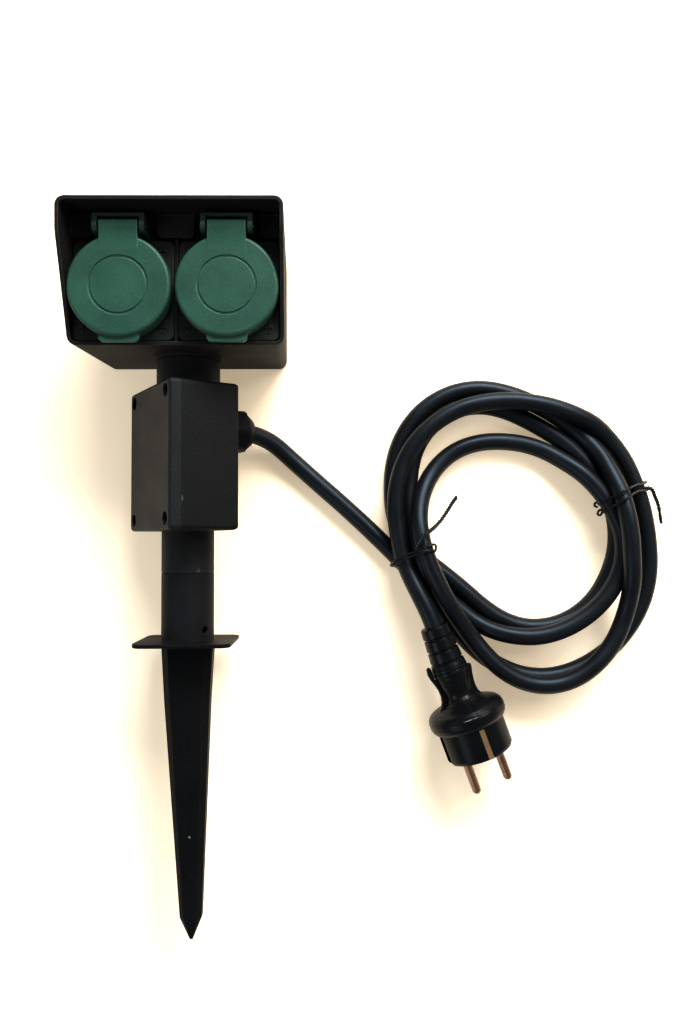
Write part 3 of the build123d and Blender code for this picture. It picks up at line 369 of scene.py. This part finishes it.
NODE_MAT = {
    "head_housing": "shell", "head_back": "back", "head_back_screws": "steel", "head_link_wires": "core", "riser_tail": "core",
    "junction_base": "box", "junction_cover": "cover", "cover_gasket": "seal", "cover_screws": "dull", "neck_ring": "nylon",
    "neck_seal": "seal", "terminal_block": "nylon", "terminal_screws": "brass", "supply_cores": "core", "riser_cable": "seal",
    "gland_body": "gland", "gland_nut": "gland", "gland_seal": "seal", "gland_locknut": "gland", "spike": "spike",
    "plug_boot": "plug", "plug_body": "plug", "plug_pins": "pin", "plug_earth_clips": "clip",
}
for s in ("left", "right"):
    NODE_MAT.update({
        "socket_frame_" + s: "frame", "socket_gasket_" + s: "seal", "contact_base_" + s: "nylon", "live_sleeves_" + s: "brass",
        "earth_yoke_" + s: "brass", "socket_screws_" + s: "dark", "hinge_frame_" + s: "bracket", "hinge_pin_" + s: "dark",
        "lid_spring_" + s: "steel", "lid_" + s: "lid", "lid_seal_" + s: "seal"})

for node, key in NODE_MAT.items():
    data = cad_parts[node].data
    data.materials.clear()
    data.materials.append(M[key])
cord.data.materials.append(M["cord"])


# ------------------------------------------------------------------ ties
WIRE_R = 0.62


def smooth_line(points, per=8):
    """Catmull-Rom line through given points."""
    pts = [Vector(p) for p in points]
    pts = [pts[0] * 2 - pts[1]] + pts + [pts[-1] * 2 - pts[-2]]
    out = []
    for i in range(1, len(pts) - 2):
        a, b, c, d = pts[i - 1:i + 3]
        for k in range(per):
            t = k / per
            out.append(0.5 * ((2 * b) + (c - a) * t + (2 * a - 5 * b + 4 * c - d) * t * t + (3 * b - a - 3 * c + d) * t ** 3))
    out.append(pts[-2])
    return out


def add_line(data, points, cyclic=False):
    line = data.splines.new("POLY")
    line.points.add(len(points) - 1)
    for p, q in zip(line.points, points):
        p.co = (q[0] * MM, q[1] * MM, q[2] * MM, 1.0)
        p.radius = WIRE_R * MM
    line.use_cyclic_u = cyclic
    line.use_smooth = True


def hull(points):
    pts = sorted(set((round(a, 4), round(b, 4)) for a, b in points))

    def half(seq):
        out = []
        for p in seq:
            while len(out) > 1 and (out[-1][0] - out[-2][0]) * (p[1] - out[-2][1]) - (out[-1][1] - out[-2][1]) * (p[0] - out[-2][0]) <= 0:
                out.pop()
            out.append(p)
        return out[:-1]

    return half(pts) + half(pts[::-1])


def wrap(circles, radius, lean=0.0):
    """Closed line round a bundle of strands in the tie's plane, a wire's radius off them and off the floor."""
    pts = []
    for u, z in circles:
        for k in range(48):
            a = 2 * math.pi * k / 48
            pts.append((u + radius * math.cos(a), max(0.75, z + radius * math.sin(a))))
    return hull(pts)


def dense(line, step=0.9):
    out = []
    for i, p in enumerate(line):
        q = line[(i + 1) % len(line)]
        n = max(1, int(math.dist(p, q) / step))
        out += [(p[0] + (q[0] - p[0]) * k / n, p[1] + (q[1] - p[1]) * k / n) for k in range(n)]
    return out


def twist(data, centre, offset, pitch, start=0.0):
    """Two wires twisted round each other along a line."""
    lines = ([], [])
    run = 0.0
    for i, c in enumerate(centre):
        if i:
            run += (centre[i] - centre[i - 1]).length
        d = (centre[min(i + 1, len(centre) - 1)] - centre[max(i - 1, 0)]).normalized()
        side = d.cross(Vector((0, 0, 1))).normalized()
        up = side.cross(d).normalized()
        a = start + 2 * math.pi * run / pitch
        for k in (0, 1):
            v = side * math.cos(a + math.pi * k) + up * math.sin(a + math.pi * k)
            lines[k].append(c + v * offset)
    for pts in lines:
        add_line(data, pts)


def tie(name, node):
    data = bpy.data.curves.new(name, "CURVE")
    data.dimensions = "3D"
    data.bevel_depth = 1.0
    data.bevel_resolution = 4
    data.use_fill_caps = True
    obj = bpy.data.objects.new(name, data)
    scene.collection.objects.link(obj)
    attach(obj, "column")
    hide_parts(node)
    data.materials.append(M["wire"])
    return obj


def place(mx, my, ux, uy, line, lean, bow):
    # lean, bow: how far the wire runs along the strands from one side to the other, and at its middle
    lo = min(p[0] for p in line)
    hi = max(p[0] for p in line)
    out = []
    for u, z in line:
        t = (u - lo) / (hi - lo)
        top = min(1.0, max(0.0, (z - 5.0) / 12.0))
        n = lean * (t - 0.5) * (1.4 * top - 0.4) + bow * (1.0 - (2.0 * t - 1.0) ** 2) * top
        out.append((mx + ux * u + uy * n, my + uy * u - ux * n, z))
    return out


tie_l = tie("left_tie", "coil_tie_left")
ring = dense(wrap([(-8.1, 4.9), (-7.0, 14.6), (2.5, 4.9), (2.7, 14.3), (4.9, 23.7)], CORD_R + 0.75))
add_line(tie_l.data, place(122.6, 13.35, 0.9399, 0.3414, ring, 1.6, -2.6), True)
add_line(tie_l.data, place(122.9, 12.2, 0.9399, 0.3414, ring, -1.2, -2.2), True)
twist(tie_l.data, smooth_line([(121.6, 17.3, 30.0), (123.8, 21.0, 30.2), (126.6, 24.8, 29.4), (129.0, 26.6, 27.0), (132.8, 29.3, 22.5), (137.2, 33.5, 17.0), (141.3, 38.9, 13.0), (144.3, 43.2, 10.5), (146.9, 46.4, 9.0)]), 0.58, 3.4)
add_line(tie_l.data, smooth_line([(128.4, 18.6, 29.3), (130.6, 19.6, 28.2), (132.6, 19.4, 25.0), (133.4, 17.5, 21.5), (132.7, 15.6, 19.5), (131.3, 15.4, 20.0)]))
tie_r = tie("right_tie", "coil_tie_right")
ring = dense(wrap([(-11.5, 13.4), (-5.4, 21.1), (-7.2, 4.9), (9.5, 4.9)], CORD_R + 0.75))
add_line(tie_r.data, place(241.8, 48.4, 0.9096, 0.4156, ring, 1.2, -2.6), True)
ring = dense(wrap([(-10.2, 13.7), (-5.3, 22.0), (-6.5, 4.9), (10.1, 4.9)], CORD_R + 0.75))
add_line(tie_r.data, place(242.05, 44.0, 0.9096, 0.4156, ring, -0.6, -3.0), True)
twist(tie_r.data, smooth_line([(254.6, 51.0, 8.4), (256.8, 51.2, 7.6), (258.7, 50.0, 7.0), (260.3, 46.4, 6.4), (262.6, 40.8, 5.4), (264.2, 31.4, 4.8)]), 0.58, 3.2)
add_line(tie_r.data, smooth_line([(225.0, 42.0, 16.5), (223.3, 42.6, 16.0), (222.9, 41.0, 15.0), (224.6, 40.0, 15.0)]))
add_line(tie_r.data, smooth_line([(227.2, 38.8, 17.2), (225.2, 38.4, 16.4), (224.4, 36.4, 15.4), (225.8, 35.6, 15.4), (226.8, 37.2, 16.4)]))

# ------------------------------------------------------------------ floor, light
WORLD_LOW, WORLD_TOP = 0.44, 0.30
floor_data = bpy.data.meshes.new("floor")
floor_data.from_pydata([(-3, -3, -0.0002), (3, -3, -0.0002), (3, 3, -0.0002), (-3, 3, -0.0002)], [], [(0, 1, 2, 3)])
floor = bpy.data.objects.new("floor", floor_data)
scene.collection.objects.link(floor)
fm = Nodes("pale_floor")
fm.p.inputs["Roughness"].default_value = 0.85
fm.p.inputs["Specular IOR Level"].default_value = 0.2
fm.p.inputs["Emission Color"].default_value = (1.0, 0.82, 0.58, 1.0)
fm.p.inputs["Emission Strength"].default_value = 0.45
fm.link(fm.mix(fm.ramp(fm.noise(6.0, 3.0), 0.35, 0.65), (0.93, 0.79, 0.62), (0.94, 0.81, 0.65)), fm.p.inputs["Base Color"])
floor_data.materials.append(fm.mat)

world = bpy.data.worlds.new("studio")
world.use_nodes = True
wt = world.node_tree
direction = wt.nodes.new("ShaderNodeTexCoord")
split = wt.nodes.new("ShaderNodeSeparateXYZ")
wt.links.new(direction.outputs["Generated"], split.inputs[0])
fade = wt.nodes.new("ShaderNodeMapRange")
fade.interpolation_type = "SMOOTHSTEP"
fade.inputs["From Min"].default_value = 0.78
fade.inputs["From Max"].default_value = 0.97
fade.inputs["To Min"].default_value = WORLD_LOW
fade.inputs["To Max"].default_value = WORLD_TOP
wt.links.new(split.outputs["Z"], fade.inputs["Value"])
wt.links.new(fade.outputs["Result"], wt.nodes["Background"].inputs["Strength"])
wt.nodes["Background"].inputs["Color"].default_value = (0.88, 0.94, 1.0, 1.0)
scene.world = world


def softbox(name, place_at, aim, size, energy, colour):
    data = bpy.data.lights.new(name, "AREA")
    data.shape = "RECTANGLE"
    data.size, data.size_y = size
    data.energy = energy
    data.color = colour
    obj = bpy.data.objects.new(name, data)
    obj.location = place_at
    obj.rotation_mode = "QUATERNION"
    obj.rotation_quaternion = (Vector(aim) - Vector(place_at)).to_track_quat("-Z", "Y")
    scene.collection.objects.link(obj)


softbox("top_window", (0.45, 1.25, 0.92), (0.08, 0.05, 0.0), (1.0, 0.55), 50.0, (0.90, 0.95, 1.0))
softbox("upper_right", (1.05, 0.75, 1.15), (0.10, 0.0, 0.0), (0.7, 0.6), 10.0, (1.0, 0.97, 0.92))
softbox("lower_left", (-1.00, -0.65, 1.05), (0.05, 0.0, 0.0), (0.8, 0.6), 7.5, (0.74, 0.87, 1.0))
scene.view_settings.view_transform = "Standard"
scene.view_settings.look = "None"
scene.view_settings.exposure = 0.0
scene.view_settings.gamma = 0.8
